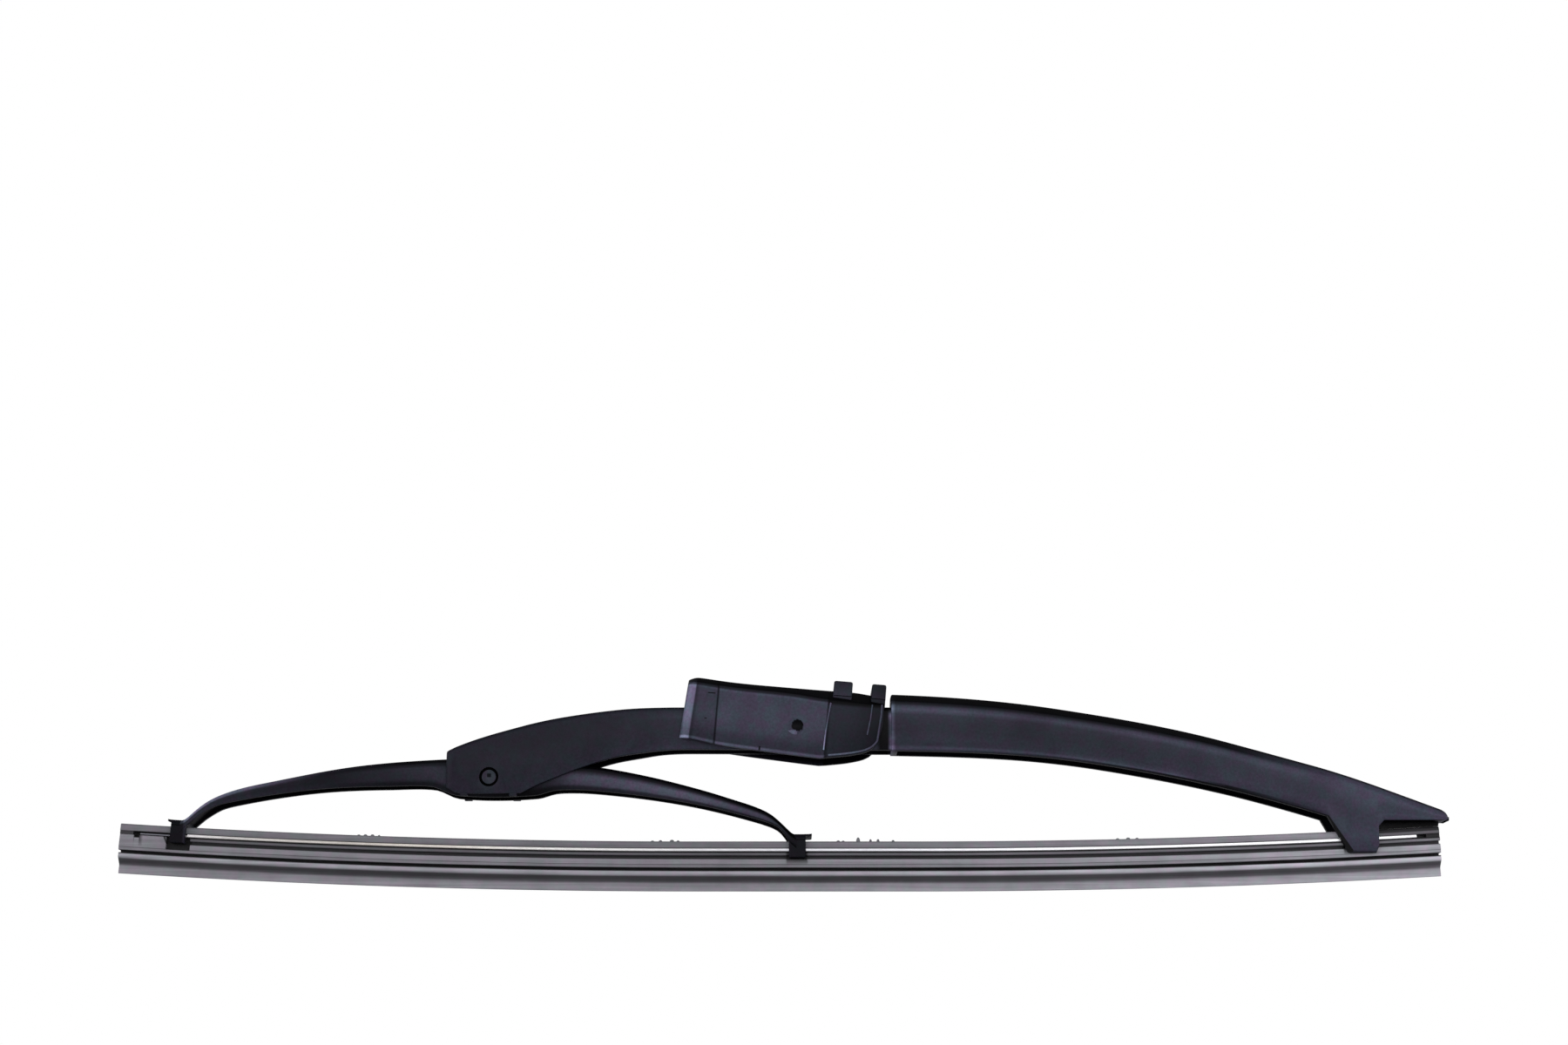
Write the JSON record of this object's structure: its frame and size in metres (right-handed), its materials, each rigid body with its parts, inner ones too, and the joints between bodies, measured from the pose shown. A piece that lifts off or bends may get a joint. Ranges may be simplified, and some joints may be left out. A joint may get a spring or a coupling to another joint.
{
  "type": "wiper blade",
  "caption": "Rear wiper blade: a tapered moulded bridge and a rocking yoke press a bowed, spring-stiffened rubber element, and a pivoting connector joins the arm.",
  "frame": {"origin": "on the pivot axis where the arm's connector turns on the bridge, midway across the blade", "axes": "+X along the blade towards the bridge's tapered tail, +Y across the blade, +Z away from the glass"},
  "size_m": [0.3019, 0.0144, 0.0482],
  "materials": {
    "bridge_plastic": "satin charcoal moulding with a fine grain",
    "yoke_plastic": "satin near-black moulding",
    "rivet_steel": "blackened steel",
    "connector_plastic": "satin dark grey moulding",
    "pin_steel": "turned steel",
    "rubber": "dull extruded rubber",
    "rail_steel": "bright rolled spring steel"
  },
  "bodies": {
    "arm_end": {"connector": "connector_plastic"},
    "bridge": {"bridge": "bridge_plastic", "connector_pin": "pin_steel", "yoke_rivet": "rivet_steel"},
    "yoke": {"yoke": "yoke_plastic", "rubber": "rubber", "rail_near": "rail_steel", "rail_far": "rail_steel"}
  },
  "joints": [
    {"name": "arm_pivot", "type": "hinge", "parent": "arm_end", "child": "bridge", "pos_m": [0, 0, 0], "axis": [0, 1, 0], "range_deg": [-2, 9]},
    {"name": "yoke_pivot", "type": "hinge", "parent": "bridge", "child": "yoke", "pos_m": [-0.0696, 0, -0.0113], "axis": [0, 1, 0], "range_deg": [-4, 4], "stiffness_Nm_per_rad": 0.8, "deforming": ["rubber", "rail_near", "rail_far"]}
  ]
}
